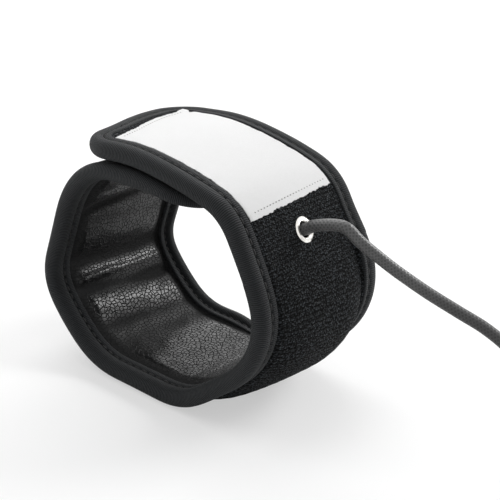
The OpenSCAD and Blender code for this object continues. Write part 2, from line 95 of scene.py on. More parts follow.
def strap_path():
    """(s, x, z, heading in radians) of the laminate's middle, all the way along."""
    right = branch_headings(RIGHT_BRANCH)
    left = branch_headings(LEFT_BRANCH)
    heading = np.radians(np.concatenate([-left[:0:-1], right]))
    reach = int(EASE / PATH_STEP)
    padded = np.pad(heading, reach, mode="edge")
    kernel = np.ones(2 * reach + 1) / (2 * reach + 1)
    heading = np.convolve(padded, kernel, mode="valid")
    zero = len(left) - 1
    between = (heading[1:] + heading[:-1]) / 2
    x = np.concatenate([[0], np.cumsum(np.cos(between) * PATH_STEP)])
    z = np.concatenate([[0], np.cumsum(np.sin(between) * PATH_STEP)])
    s = (np.arange(len(heading)) - zero) * PATH_STEP
    return s, x - x[zero] + LOOP_X, z - z[zero] + ROLL_HALF, heading


PATH_S, PATH_X, PATH_Z, PATH_H = strap_path()
INNER_END = PATH_S[0]
FLAP_END = PATH_S[-1]

# ---- How the sewn strap strays from its path ----
PINCH = 0.27  # the inner end is thinner by this share where the flap presses on it
PINCH_LIFT = 0.42
PINCH_LENGTHS = (24, 10)  # from the inner end: where the pinch begins and where it is full
FLAP_SKEW = 0.10  # the flap was closed askew: mm along for each mm across
FAR_CORNER = 1.7  # how much further its far corner reaches
SKEW_STRETCH = (85, 128)
END_BULGE = 2.0  # how far the middle of the flap's end stands out
END_BULGE_HALF = 13
END_BULGE_STRETCH = (117, 130)
RIM_LEAN = 1.1  # how far the rims lean in or out where the loop bends
FAR_RIGHT_SHARE = 1.25
NEAR_RIGHT_SHARE = 0.5
RIM_BAND = (17.5, 18.9)
FAR_LEFT = ((-10, 4), (60, 72))  # where the lean rises and where it fades
FAR_RIGHT = ((14, 26), (58, 76))
NEAR_RIGHT = ((14, 30), (76, 90))
ROLL_SWELL = 0.3  # how much fuller the far left roll is inside the loop
ROLL_BAND = (20.6, 22)


def step_up(t, low, high):
    u = np.clip((t - low) / (high - low), 0, 1)
    return u * u * (3 - 2 * u)


def along_stretch(t, rise, fall):
    """Rises to 1 over one stretch and fades to 0 over another."""
    return step_up(t, *rise) * (1 - step_up(t, *fall))


def bump_at(t, middle, width):
    return np.exp(-(((t - middle) / width) ** 2))


def place(s, y, n):
    """Points of the strap, in millimetres, for arrays of s, y and n. The flap was closed a little
    askew, the inner end is squeezed under it, and the rims lean in or out where the loop bends."""
    s, y, n = np.broadcast_arrays(np.asarray(s, float), y, n)
    pinch = step_up(-s, -INNER_END - PINCH_LENGTHS[0], -INNER_END - PINCH_LENGTHS[1])
    n = n * (1 - PINCH * pinch) + PINCH_LIFT * pinch
    far_left = along_stretch(-s, *FAR_LEFT)
    far_right = along_stretch(s, *FAR_RIGHT)
    near_right = along_stretch(s, *NEAR_RIGHT)
    n = np.where(n < 0, n * (1 + ROLL_SWELL * far_left * step_up(y, *ROLL_BAND)), n)
    n = n + RIM_LEAN * (FAR_RIGHT_SHARE * far_right - far_left) * step_up(y, *RIM_BAND)
    n = n - RIM_LEAN * NEAR_RIGHT_SHARE * near_right * step_up(-y, *RIM_BAND)
    skew = FLAP_SKEW * y + FAR_CORNER * step_up(y, -8, 12)
    bulge = END_BULGE * bump_at(y, 0, END_BULGE_HALF)
    s = s + skew * step_up(s, *SKEW_STRETCH) + bulge * step_up(s, *END_BULGE_STRETCH)
    over = np.maximum(s - FLAP_END, 0)
    x = np.interp(s, PATH_S, PATH_X) + over * math.cos(PATH_H[-1])
    z = np.interp(s, PATH_S, PATH_Z) + over * math.sin(PATH_H[-1])
    heading = np.interp(s, PATH_S, PATH_H)
    return np.stack([x + n * np.sin(heading), y, z - n * np.cos(heading)], axis=-1)


def spaced(start, end, step):
    return np.linspace(start, end, max(2, int(round(abs(end - start) / step)) + 1))


def smooth_noise(a, b, seed):
    """Soft random waves from -1 to 1 over two arrays, the same each time for one seed."""
    random = np.random.default_rng(seed)
    total = np.zeros(np.broadcast(a, b).shape)
    for _ in range(7):
        turn = random.uniform(0, 2 * math.pi)
        rate = random.uniform(0.6, 1.7)
        phase = random.uniform(0, 2 * math.pi)
        total = total + np.sin(rate * (a * math.cos(turn) + b * math.sin(turn)) + phase)
    return total / 4


# ---------------------------------------------------------------------------
# Meshes


def make_mesh(name, points, faces, uv=None, angle=50):
    """A mesh object from points in millimetres. uv holds one pair for each point or each corner."""
    mesh = bpy.data.meshes.new(name)
    mesh.from_pydata((np.asarray(points, float) * MM).tolist(), [], [list(f) for f in faces])
    mesh.update()
    if uv is not None:
        uv = np.asarray(uv, np.float32)
        if len(uv) == len(points):
            corner_points = np.zeros(len(mesh.loops), int)
            mesh.loops.foreach_get("vertex_index", corner_points)
            uv = uv[corner_points]
        mesh.uv_layers.new(name="strap").data.foreach_set("uv", uv.ravel())
    obj = bpy.data.objects.new(name, mesh)
    bpy.context.collection.objects.link(obj)
    finish_shading(obj, angle)
    return obj


def finish_shading(obj, angle):
    bpy.ops.object.select_all(action="DESELECT")
    obj.select_set(True)
    bpy.context.view_layer.objects.active = obj
    bpy.ops.object.shade_smooth_by_angle(angle=math.radians(angle))
    obj.select_set(False)


def grid_faces(rows, columns, first=0, turned=False):
    i, j = np.meshgrid(np.arange(rows - 1), np.arange(columns - 1), indexing="ij")
    a = (first + i * columns + j).ravel()
    quads = np.stack([a, a + columns, a + columns + 1, a + 1], axis=1)
    return quads[:, ::-1] if turned else quads


def shell_faces(rows, columns):
    """Faces of a closed sheet whose lower grid of points follows its upper one."""
    count = rows * columns
    ring = np.concatenate([
        np.arange(columns),
        np.arange(1, rows) * columns + columns - 1,
        (rows - 1) * columns + np.arange(columns - 2, -1, -1),
        np.arange(rows - 2, 0, -1) * columns,
    ])
    after = np.roll(ring, -1)
    return np.concatenate([
        grid_faces(rows, columns),
        grid_faces(rows, columns, count, turned=True),
        np.stack([ring, after, after + count, ring + count], axis=1),
    ])


def ring_faces(first, rings, sides):
    """Faces between rings of points that follow each other, with a cap on each end."""
    i, j = np.meshgrid(np.arange(rings - 1), np.arange(sides), indexing="ij")
    a = (first + i * sides + j).ravel()
    b = (first + i * sides + (j + 1) % sides).ravel()
    quads = np.stack([a, b, b + sides, a + sides], axis=1).tolist()
    last = first + (rings - 1) * sides
    return quads + [list(range(first, first + sides))[::-1], list(range(last, last + sides))]


def path_lengths(path):
    """Distance along a path to each of its points."""
    return np.concatenate([[0], np.cumsum(np.linalg.norm(np.diff(path, axis=0), axis=1))])


def set_outward(obj):
    mesh = bmesh.new()
    mesh.from_mesh(obj.data)
    bmesh.ops.recalc_face_normals(mesh, faces=mesh.faces)
    mesh.to_mesh(obj.data)
    mesh.free()


def sheet_piece(name, s, y, upper_n, lower_n):
    """A closed sheet of the strap over grids of s and y, between two heights."""
    upper = place(s, y, upper_n).reshape(-1, 3)
    lower = place(s, y, lower_n).reshape(-1, 3)
    uv = np.stack([s.ravel() * MM, y.ravel() * MM], axis=1)
    return make_mesh(name, np.concatenate([upper, lower]), shell_faces(*s.shape), np.concatenate([uv, uv]))


def layer_piece(name, s_values, across, half_width, top, bottom):
    """A closed layer of the strap. top and bottom give n for arrays of s and y."""
    s, v = np.meshgrid(s_values, across, indexing="ij")
    y = v * half_width(s)
    return sheet_piece(name, s, y, top(s, y), bottom(s, y))


def rounded_width(s, end, side):
    """Half width of a layer whose corners are rounded at end; side is 1 where the strap lies
    beyond end, and -1 where it lies before it."""
    r = CORNER_R - EDGE_INSET
    d = np.clip(side * (s - end), 0, r)
    return CORE_HALF_WIDTH - r + np.sqrt(np.maximum(r * r - (r - d) ** 2, 0))


TAPE_WAVE = 0.09  # how far the roll swells and thins along the rim
EDGE_WAVE = 0.06  # how far the rim wanders in and out
ROLL_DEPTH = 4  # the part of the outline that is roll


def swept_piece(name, stations, outline):
    """A profile of (n, depth) points swept along rim stations of (s, y, radius, angle, along)."""
    rows = len(stations)
    columns = len(outline)
    rim_s, rim_y, radius, angle, along = stations.T[:, :, None]
    n, depth = outline[None, :, 0], outline[None, :, 1]
    wave = TAPE_WAVE * smooth_noise(along / 5, n / 2, 3)
    swell = np.where(depth < ROLL_DEPTH, wave, 0)
    reach = radius - depth + EDGE_WAVE * smooth_noise(along / 7, n / 3, 4)
    s = rim_s + reach * np.cos(angle)
    y = rim_y + reach * np.sin(angle)
    points = place(s, y, n * (1 + swell / ROLL_HALF)).reshape(-1, 3)
    u = np.broadcast_to(along * MM, (rows, columns))
    v = np.broadcast_to(path_lengths(outline)[None, :] * MM, (rows, columns))
    uv = np.stack([u.ravel(), v.ravel()], axis=1)
    return make_mesh(name, points, ring_faces(0, rows, columns), uv, 60)


def tube_mesh(name, path, radius, sides):
    """A round tube along path in millimetres, with its ends closed."""
    count = len(path)
    tangent = np.gradient(path, axis=0)
    tangent /= np.linalg.norm(tangent, axis=1, keepdims=True)
    first = np.cross(tangent[0], [0.0, 1.0, 0.0])
    side = np.zeros_like(path)
    side[0] = first / np.linalg.norm(first)
    for k in range(1, count):
        turned = side[k - 1] - tangent[k] * np.dot(side[k - 1], tangent[k])
        side[k] = turned / np.linalg.norm(turned)
    other = np.cross(tangent, side)
    angle = np.linspace(0, 2 * math.pi, sides + 1)[:-1]
    ring = np.cos(angle)[None, :, None] * side[:, None] + np.sin(angle)[None, :, None] * other[:, None]
    points = path[:, None] + radius * ring
    u = path_lengths(path) * MM
    v = np.arange(sides + 1) / sides
    uv = []
    for i in range(count - 1):
        for j in range(sides):
            uv.extend([(u[i], v[j]), (u[i], v[j + 1]), (u[i + 1], v[j + 1]), (u[i + 1], v[j])])
    uv.extend([(0, 0)] * sides + [(u[-1], 0)] * sides)
    return make_mesh(name, points.reshape(-1, 3), ring_faces(0, count, sides), uv, 60)


# ---------------------------------------------------------------------------
# Camera


CAMERA_AT = (0.18697, -0.24936, 0.17020)
CAMERA_AHEAD = (-0.52434, 0.75448, -0.39474)
CAMERA_ROLL = math.radians(6.061)
LENS = 90
SENSOR = 36


def set_camera():
    ahead = Vector(CAMERA_AHEAD).normalized()
    level = ahead.cross(Vector((0, 0, 1))).normalized()
    up = level.cross(ahead)
    right = level * math.cos(CAMERA_ROLL) + up * math.sin(CAMERA_ROLL)
    head = up * math.cos(CAMERA_ROLL) - level * math.sin(CAMERA_ROLL)
    camera = bpy.data.objects.new("camera", bpy.data.cameras.new("camera"))
    bpy.context.collection.objects.link(camera)
    camera.data.lens = LENS
    camera.data.sensor_width = SENSOR
    camera.data.clip_start = 0.01
    turn = Matrix((right, head, -ahead)).transposed().to_4x4()
    camera.matrix_world = Matrix.Translation(Vector(CAMERA_AT)) @ turn
    bpy.context.scene.camera = camera


# ---------------------------------------------------------------------------
# Cable

CORD_R = 1.6
CORD_D = 2 * CORD_R
CORD_SIDES = 20
CORD_STEP = 0.9
CORD_RISE = (0.02, 3, 6.5)  # heights over the strap's middle, square to it at the eyelet
EYELET_X = 27.988
CORD_FALL = [
    [12.5, 1, 54.9], [17, 2.5, 51.8], [21.5, 5, 48.4], [26.5, 7, 45.4], [34, 9.5, 41.8],
    [42, 11.5, 38.9], [50, 13, 36.3], [58, 13.6, 32.6], [66, 13.6, 27.2], [73, 13.2, 20.4],
    [79, 12.4, 13.6], [85, 11.3, 7.8], [91, 10.2, 4], [96, 9.6, 2.2], [100, 9.4, 1.6],
    [104, 9.4, 1.6],
]
COIL_TURNS = 9.5
COIL_LAYERS = 4
COIL_R = 21.4
COIL_PITCH = CORD_D + 0.5
COIL_STEPS = 48  # points in one turn
LAYER_TURNS = COIL_TURNS / COIL_LAYERS
LIFT_TURNS = 0.2  # the last stretch of the coil, where the cable rises to the plug
SWING_R = COIL_R / 2
PLUG_GAP = 0.15
PLUG_HALF_HEIGHT = 4
PLUG_Z = CORD_D + (COIL_LAYERS - 1) * COIL_PITCH + PLUG_GAP + PLUG_HALF_HEIGHT


def rounded_route(points, parts):
    """Smooth curve through points."""
    p = np.asarray(points, float)
    p = np.concatenate([p[:1], p, p[-1:]])
    out = []
    for i in range(1, len(p) - 2):
        a, b, c, d = p[i - 1], p[i], p[i + 1], p[i + 2]
        for k in range(parts):
            t = k / parts
            out.append(
                b + (c - a) * t / 2
                + (a - 2.5 * b + 2 * c - d / 2) * t * t
                + (1.5 * b - a / 2 - 1.5 * c + d / 2) * t ** 3
            )
    out.append(p[-2])
    return np.array(out)


def coil_points(start):
    """The stored turns: in on the floor, out on the next layer, and so on."""
    centre = start + np.array([0, -COIL_R, 0])
    turns = np.linspace(0, COIL_TURNS, int(COIL_TURNS * COIL_STEPS) + 1)
    layer = np.minimum(COIL_LAYERS - 1, np.floor(turns / LAYER_TURNS))
    within = turns - layer * LAYER_TURNS
    shrink = np.where(layer % 2 == 0, within, LAYER_TURNS - within)
    radius = COIL_R - COIL_PITCH * shrink
    height = sum(
        COIL_PITCH * np.clip((turns - k * LAYER_TURNS + 0.25) * 2, 0, 1) for k in range(1, COIL_LAYERS)
    )
    top_turn = CORD_R + (COIL_LAYERS - 1) * COIL_PITCH
    lift = (PLUG_Z - top_turn) * step_up(turns, COIL_TURNS - LIFT_TURNS, COIL_TURNS)
    angle = np.radians(90 - 360 * turns)
    return np.stack([
        centre[0] + radius * np.cos(angle), centre[1] + radius * np.sin(angle), CORD_R + height + lift,
    ], axis=1)


def cable_route():
    """Middle of the cable from the stop behind the eyelet to the plug."""
    rise = [place(EYELET_S, 0, n) for n in CORD_RISE]
    fall = [np.array([EYELET_X + x, y, z], float) for x, y, z in CORD_FALL]
    free = rounded_route(rise + fall, 8)
    free[:, 2] = np.maximum(free[:, 2], CORD_R)
    turns = coil_points(free[-1] + np.array([CORD_D, 0, 0]))
    end = turns[-1]
    turn = np.linspace(0, math.pi / 2, 16)[1:]
    swing = np.stack([
        end[0] - SWING_R * np.sin(turn), end[1] + SWING_R * (1 - np.cos(turn)), PLUG_Z + 0 * turn,
    ], axis=1)
    plug_start = swing[-1] + np.array([0, CORD_D, 0])
    return np.concatenate([free, turns, swing, plug_start[None]])


def even_steps(route, step):
    along = path_lengths(route)
    at = np.linspace(0, along[-1], int(along[-1] / step) + 1)
    return np.stack([np.interp(at, along, route[:, k]) for k in range(3)], axis=1)


def make_cable(material):
    route = even_steps(cable_route(), CORD_STEP)
    cable = tube_mesh("cable", route, CORD_R, CORD_SIDES)
    cable.data.materials.append(material)
    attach(cable, "strip")
    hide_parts("cord_run", "cord_coil")


# ---------------------------------------------------------------------------
# Shader helpers


def add(tree, kind, **settings):
    node = tree.nodes.new(kind)
    for key, value in settings.items():
        setattr(node, key, value)
    return node


def feed(tree, socket, value):
    """Links a socket to value, or sets it where value is a number or a colour."""
    if isinstance(value, bpy.types.NodeSocket):
        tree.links.new(value, socket)
    else:
        socket.default_value = value


def calc(tree, operation, a, b=0.0, c=0.0):
    node = add(tree, "ShaderNodeMath", operation=operation)
    for socket, value in zip(node.inputs, (a, b, c)):
        feed(tree, socket, value)
    return node.outputs[0]


def stretched(tree, vector, scale):
    node = add(tree, "ShaderNodeMapping")
    feed(tree, node.inputs["Vector"], vector)
    node.inputs["Scale"].default_value = scale
    return node.outputs["Vector"]


def noisy(tree, vector, scale, detail=3.0, roughness=0.55):
    node = add(tree, "ShaderNodeTexNoise")
    feed(tree, node.inputs["Vector"], vector)
    node.inputs["Scale"].default_value = scale
    node.inputs["Detail"].default_value = detail
    node.inputs["Roughness"].default_value = roughness
    return node.outputs["Fac"]


def cells(tree, vector, scale, feature="F1", spread=1.0, flat=False):
    node = add(tree, "ShaderNodeTexVoronoi", feature=feature)
    node.voronoi_dimensions = "2D" if flat else "3D"
    feed(tree, node.inputs["Vector"], vector)
    node.inputs["Scale"].default_value = scale
    node.inputs["Randomness"].default_value = spread
    return node


def blend_colors(tree, factor, a, b):
    node = add(tree, "ShaderNodeMix", data_type="RGBA")
    feed(tree, node.inputs[0], factor)
    feed(tree, node.inputs[6], a)
    feed(tree, node.inputs[7], b)
    return node.outputs[2]


def between(tree, value, low, high, to_low, to_high):
    """value, eased from the range low to high into the range to_low to to_high."""
    node = add(tree, "ShaderNodeMapRange", interpolation_type="SMOOTHSTEP")
    feed(tree, node.inputs["Value"], value)
    node.inputs["From Min"].default_value = low
    node.inputs["From Max"].default_value = high
    node.inputs["To Min"].default_value = to_low
    node.inputs["To Max"].default_value = to_high
    return node.outputs["Result"]


def part_of(tree, vector, axis):
    split = add(tree, "ShaderNodeSeparateXYZ")
    tree.links.new(vector, split.inputs[0])
    return split.outputs[axis]


def wandering(tree, vector, scale, detail, reach):
    """vector, pushed about by soft noise, so that a pattern on it doesn't run straight."""
    moved = add(tree, "ShaderNodeVectorMath", operation="MULTIPLY_ADD")
    tree.links.new(noisy(tree, vector, scale, detail), moved.inputs[0])
    moved.inputs[1].default_value = (reach, reach, 0)
    tree.links.new(vector, moved.inputs[2])
    return moved.outputs[0]


def grey(value, warmth=0.0):
    return (value * (1 + warmth), value, value * (1 - warmth), 1)


def new_group(name, inputs, outputs):
    """A node group with its sockets; returns (group, inner input node, inner output node)."""
    group = bpy.data.node_groups.new(name, "ShaderNodeTree")
    for label, kind, start in inputs:
        socket = group.interface.new_socket(label, in_out="INPUT", socket_type=kind)
        if start is not None:
            socket.default_value = start
    for label, kind in outputs:
        group.interface.new_socket(label, in_out="OUTPUT", socket_type=kind)
    return group, add(group, "NodeGroupInput"), add(group, "NodeGroupOutput")


def use_group(tree, group, **values):
    node = add(tree, "ShaderNodeGroup", node_tree=group)
    for key, value in values.items():
        feed(tree, node.inputs[key.replace("_", " ")], value)
    return node


FLOAT = "NodeSocketFloat"
VECTOR = "NodeSocketVector"


def uneven_tone_group():
    """Uneven tone: soft patches and fine speckle, centred on 1."""
    group, start, end = new_group(
        "uneven_tone",
        [("Vector", VECTOR, None), ("Patch", FLOAT, 120.0), ("Speck", FLOAT, 2500.0), ("Amount", FLOAT, 0.2)],
        [("Tone", FLOAT)],
    )
    patch = add(group, "ShaderNodeTexNoise")
    speck = add(group, "ShaderNodeTexNoise")
    for node, scale in ((patch, "Patch"), (speck, "Speck")):
        group.links.new(start.outputs["Vector"], node.inputs["Vector"])
        group.links.new(start.outputs[scale], node.inputs["Scale"])
        node.inputs["Detail"].default_value = 3
    both = calc(group, "ADD", patch.outputs["Fac"], speck.outputs["Fac"])
    centred = calc(group, "SUBTRACT", both, 1.0)
    group.links.new(
        calc(group, "MULTIPLY_ADD", centred, start.outputs["Amount"], 1.0), end.inputs["Tone"]
    )
    return group


def lint_group():
    """Sparse pale fibres and dust caught in cloth."""
    group, start, end = new_group(
        "lint", [("Vector", VECTOR, None), ("Scale", FLOAT, 400.0), ("Size", FLOAT, 0.08)], [("Mask", FLOAT)]
    )
    node = add(group, "ShaderNodeTexVoronoi")
    group.links.new(start.outputs["Vector"], node.inputs["Vector"])
    group.links.new(start.outputs["Scale"], node.inputs["Scale"])
    near = calc(group, "LESS_THAN", node.outputs["Distance"], start.outputs["Size"])
    bright = add(group, "ShaderNodeSeparateColor")
    group.links.new(node.outputs["Color"], bright.inputs[0])
    chosen = calc(group, "GREATER_THAN", bright.outputs[0], 0.45)
    group.links.new(calc(group, "MULTIPLY", near, chosen), end.inputs["Mask"])
    return group


def fine_rib_group():
    """Fine rounded ribs square to a coordinate."""
    group, start, end = new_group(
        "fine_ribs",
        [("Along", FLOAT, 0.0), ("Vector", VECTOR, None), ("Pitch", FLOAT, 0.0004), ("Wander", FLOAT, 0.4)],
        [("Height", FLOAT)],
    )
    wander = add(group, "ShaderNodeTexNoise")
    wander.inputs["Scale"].default_value = 700
    wander.inputs["Detail"].default_value = 2
    group.links.new(start.outputs["Vector"], wander.inputs["Vector"])
    count = calc(group, "DIVIDE", start.outputs["Along"], start.outputs["Pitch"])
    moved = calc(group, "MULTIPLY_ADD", wander.outputs["Fac"], start.outputs["Wander"], count)
    wave = calc(group, "SINE", calc(group, "MULTIPLY", moved, math.pi))
    group.links.new(calc(group, "ABSOLUTE", wave), end.inputs["Height"])
    return group


UNEVEN_TONE = uneven_tone_group()
LINT = lint_group()
FINE_RIBS = fine_rib_group()


def uneven(tree, here, patch, speck, amount):
    return use_group(tree, UNEVEN_TONE, Vector=here, Patch=patch, Speck=speck, Amount=amount).outputs[0]


def fine_ribs(tree, along, here, pitch, wander):
    return use_group(tree, FINE_RIBS, Along=along, Vector=here, Pitch=pitch, Wander=wander).outputs[0]


def new_material(name):
    material = bpy.data.materials.new(name)
    material.use_nodes = True
    tree = material.node_tree
    return material, tree, tree.nodes["Principled BSDF"]


def object_place(tree):
    return add(tree, "ShaderNodeTexCoord").outputs["Object"]


def strap_uv(tree):
    return add(tree, "ShaderNodeUVMap", uv_map="strap").outputs["UV"]


def tinted(tree, tone, color):
    """color, made lighter or darker by tone."""
    node = add(tree, "ShaderNodeMix", data_type="RGBA", blend_type="MULTIPLY")
    node.inputs[0].default_value = 1
    node.inputs[6].default_value = color
    grey_tone = add(tree, "ShaderNodeCombineColor")
    for socket in grey_tone.inputs:
        feed(tree, socket, tone)
    tree.links.new(grey_tone.outputs[0], node.inputs[7])
    return node.outputs[2]


def set_even(shader, **values):
    """Sets what is the same all over a surface on the shader's own sockets."""
    for key, value in values.items():
        shader.inputs[key.replace("_", " ")].default_value = value


def raise_surface(tree, shader, height, depth_mm):
    bump = add(tree, "ShaderNodeBump")
    bump.inputs["Strength"].default_value = 1
    bump.inputs["Distance"].default_value = depth_mm * MM
    feed(tree, bump.inputs["Height"], height)
    tree.links.new(bump.outputs["Normal"], shader.inputs["Normal"])


# ---------------------------------------------------------------------------
# Finishes


def binding_tape():
    """Charcoal tape with fine ribs square to the edge, with painted light on the ribs' crests and painted
    shade between them.
    """
    material, tree, shader = new_material("binding_tape")
    here = object_place(tree)
    ribs = fine_ribs(tree, part_of(tree, strap_uv(tree), "X"), here, 0.00050, 0.45)
    # Rib crests painted lighter and the valleys between ribs painted darker: painted light and painted shade.
    painted_shade = between(tree, ribs, 0.0, 0.9, 0.0, 1.6)
    tone = calc(tree, "MULTIPLY", painted_shade, uneven(tree, here, 90.0, 3200.0, 0.55))
    feed(tree, shader.inputs["Base Color"], tinted(tree, tone, grey(0.0130, -0.10)))
    feed(tree, shader.inputs["Roughness"], between(tree, ribs, 0, 1, 0.85, 0.62))
    set_even(shader, Specular_IOR_Level=0.18, Sheen_Weight=0.06, Sheen_Roughness=0.5)
    fuzz = noisy(tree, here, 6000.0, 2)
    raise_surface(tree, shader, calc(tree, "MULTIPLY_ADD", fuzz, 0.4, ribs), 0.22)
    return material


def loop_pile():
    """Black loop pile in rows across the strap, with lint caught in it. The loops' crowns are painted lighter
    with painted glints, and the hollows between loops painted darker: painted light and painted shade.
    """
    material, tree, shader = new_material("loop_pile")
    here = object_place(tree)
    moved = wandering(tree, strap_uv(tree), 260.0, 3, 0.0010)
    loops = cells(tree, stretched(tree, moved, (1.25, 0.85, 1)), 1650.0, spread=0.8, flat=True)
    crown = between(tree, loops.outputs["Distance"], 0.15, 0.62, 1.0, 0.0)
    rows = fine_ribs(tree, part_of(tree, moved, "X"), here, 0.0011, 0.6)
    fluff = noisy(tree, here, 3400.0, 4, 0.75)
    height = calc(tree, "ADD", calc(tree, "MULTIPLY", crown, 0.8), calc(tree, "MULTIPLY", rows, 0.7))
    height = calc(tree, "ADD", fluff, height)
    own = add(tree, "ShaderNodeSeparateColor")
    tree.links.new(loops.outputs["Color"], own.inputs[0])
    # Painted glints on the loops' crowns, with painted light on the crowns and painted shade in the hollows,
    # all in the base colour.
    painted_glint = calc(tree, "MULTIPLY", calc(tree, "POWER", own.outputs[0], 3.0), crown)
    lit = between(tree, height, 0.8, 2.2, 0.0, 1.0)
    tone = calc(tree, "MULTIPLY_ADD", painted_glint, 9.0, calc(tree, "MULTIPLY", lit, 2.6))
    lint = use_group(tree, LINT, Vector=here, Scale=760.0, Size=0.11).outputs[0]
    base = tinted(tree, tone, grey(0.0068, -0.12))
    base = blend_colors(tree, calc(tree, "MULTIPLY", lint, 0.6), base, grey(0.20))
    feed(tree, shader.inputs["Base Color"], base)
    feed(tree, shader.inputs["Roughness"], between(tree, lit, 0, 1, 1.0, 0.6))
    set_even(shader, Specular_IOR_Level=0.12)
    raise_surface(tree, shader, height, 0.6)
    return material


def pebbled_leather():
    """Soft black leather cloth: domed cells whose creases are painted darker as painted shade, dull where the
    lining lies in a hollow.
    """
    material, tree, shader = new_material("pebbled_leather")
    here = object_place(tree)
    grain = stretched(tree, wandering(tree, strap_uv(tree), 420.0, 2, 0.0004), (1.15, 1.0, 1))
    edge = cells(tree, grain, 730.0, "DISTANCE_TO_EDGE", flat=True).outputs["Distance"]
    fine_edge = cells(tree, grain, 2600.0, "DISTANCE_TO_EDGE", flat=True).outputs["Distance"]
    crease = between(tree, edge, 0.0, 0.15, 0.0, 1.0)
    fine = between(tree, fine_edge, 0.0, 0.3, 0.0, 1.0)
    relief = add(tree, "ShaderNodeAttribute", attribute_name="relief").outputs["Fac"]
    open_place = between(tree, relief, 0.1, 1.3, 0.1, 1.0)
    # The creases between the cells are painted darker: painted shade.
    painted_shade = between(tree, crease, 0, 1, 0.25, 1.0)
    tone = calc(tree, "MULTIPLY", painted_shade, uneven(tree, here, 70.0, 1800.0, 0.5))
    glossy = calc(tree, "MULTIPLY", between(tree, crease, 0, 1, 0.1, 0.95), open_place)
    feed(tree, shader.inputs["Base Color"], tinted(tree, tone, grey(0.005, -0.04)))
    feed(tree, shader.inputs["Roughness"], between(tree, glossy, 0, 1, 0.95, 0.30))
    set_even(shader, Specular_IOR_Level=0.36)
    raise_surface(tree, shader, calc(tree, "MULTIPLY_ADD", fine, 0.06, crease), 0.10)
    return material


def satin_label():
    """Off-white satin ribbon, a little creased."""
    material, tree, shader = new_material("satin_label")
    here = object_place(tree)
    weave = fine_ribs(tree, part_of(tree, strap_uv(tree), "Y"), here, 0.00022, 0.3)
    # The valleys between the weave's threads are painted a little darker: painted shade.
    painted_shade = between(tree, weave, 0, 1, 0.965, 1.0)
    tone = calc(tree, "MULTIPLY", painted_shade, uneven(tree, here, 45.0, 1500.0, 0.05))
    feed(tree, shader.inputs["Base Color"], tinted(tree, tone, grey(0.655)))
    set_even(shader, Roughness=0.5, Sheen_Weight=0.1)
    creases = noisy(tree, here, 130.0, 3)
    raise_surface(tree, shader, calc(tree, "MULTIPLY_ADD", creases, 3.0, weave), 0.03)
    return material


BRAID_TURN = 0.0085  # length of cable in which a strand goes once round it
BRAID_STRANDS = 8.0


def braided_sleeve():
    """Dark grey sleeve of crossing strands, rubbed smoother where the cable leaves the eyelet and painted
    paler there as a painted highlight; the gaps between strands are painted darker as painted shade.
    """
    material, tree, shader = new_material("braided_sleeve")
    here = object_place(tree)
    uv = strap_uv(tree)
    along = part_of(tree, uv, "X")
    around = part_of(tree, uv, "Y")
    turns = calc(tree, "DIVIDE", along, BRAID_TURN)
    waves = []
    for sign in (1.0, -1.0):
        phase = calc(tree, "MULTIPLY_ADD", turns, sign, around)
        wave = calc(tree, "SINE", calc(tree, "MULTIPLY", phase, 2 * math.pi * BRAID_STRANDS))
        waves.append(calc(tree, "MULTIPLY_ADD", wave, 0.5, 0.5))
    over = calc(tree, "MAXIMUM", waves[0], waves[1])
    fibres = noisy(tree, here, 4200.0, 3)
    tone = uneven(tree, here, 160.0, 2600.0, 0.5)
    # The gaps between strands are painted darker: painted shade.
    painted_shade = calc(tree, "MULTIPLY", between(tree, over, 0.3, 1.0, 0.55, 1.1), tone)
    # Near the eyelet the colour is painted up to 2.4 times paler: a painted highlight.
    tone_with_painted_highlight = calc(tree, "MULTIPLY", painted_shade, between(tree, along, 0.025, 0.06, 2.4, 1.0))
    feed(tree, shader.inputs["Base Color"], tinted(tree, tone_with_painted_highlight, grey(0.036)))
    feed(tree, shader.inputs["Roughness"], between(tree, along, 0.02, 0.05, 0.30, 0.5))
    set_even(shader, Specular_IOR_Level=0.45, Sheen_Weight=0.08)
    raise_surface(tree, shader, calc(tree, "MULTIPLY_ADD", fibres, 0.35, over), 0.07)
    return material


def scratched_metal(name, color, roughness, scratch=(1, 1, 1), depth=0.01):
    """Plated or brushed metal. scratch stretches the fine scratches along an axis."""
    material, tree, shader = new_material(name)
    here = object_place(tree)
    lines = noisy(tree, stretched(tree, here, scratch), 2500.0, 4, 0.7)
    feed(tree, shader.inputs["Base Color"], tinted(tree, uneven(tree, here, 300.0, 4000.0, 0.25), color))
    feed(tree, shader.inputs["Roughness"], between(tree, lines, 0.3, 0.7, roughness * 0.7, roughness * 1.35))
    set_even(shader, Metallic=1)
    raise_surface(tree, shader, lines, depth)
    return material


def grained_plastic(name, color, roughness, grain=3500.0, depth=0.02):
    """Moulded plastic, rubber or thread with a fine grain."""
    material, tree, shader = new_material(name)
    here = object_place(tree)
    grains = noisy(tree, here, grain, 3, 0.6)
    feed(tree, shader.inputs["Base Color"], tinted(tree, uneven(tree, here, 140.0, grain, 0.25), color))
    rough = between(tree, grains, 0.3, 0.7, roughness * 0.85, roughness * 1.15)
    feed(tree, shader.inputs["Roughness"], rough)
    raise_surface(tree, shader, grains, depth)
    return material


def open_foam():
    """Dark grey cellular foam."""
    material, tree, shader = new_material("open_foam")
    pores = cells(tree, object_place(tree), 1500.0).outputs["Distance"]
    # The pores are painted darker: painted shade in the pores.
    hollow = between(tree, pores, 0.1, 0.5, 0.3, 1.0)
    feed(tree, shader.inputs["Base Color"], tinted(tree, hollow, grey(0.06)))
    set_even(shader, Roughness=0.95)
    raise_surface(tree, shader, hollow, 0.2)
    return material


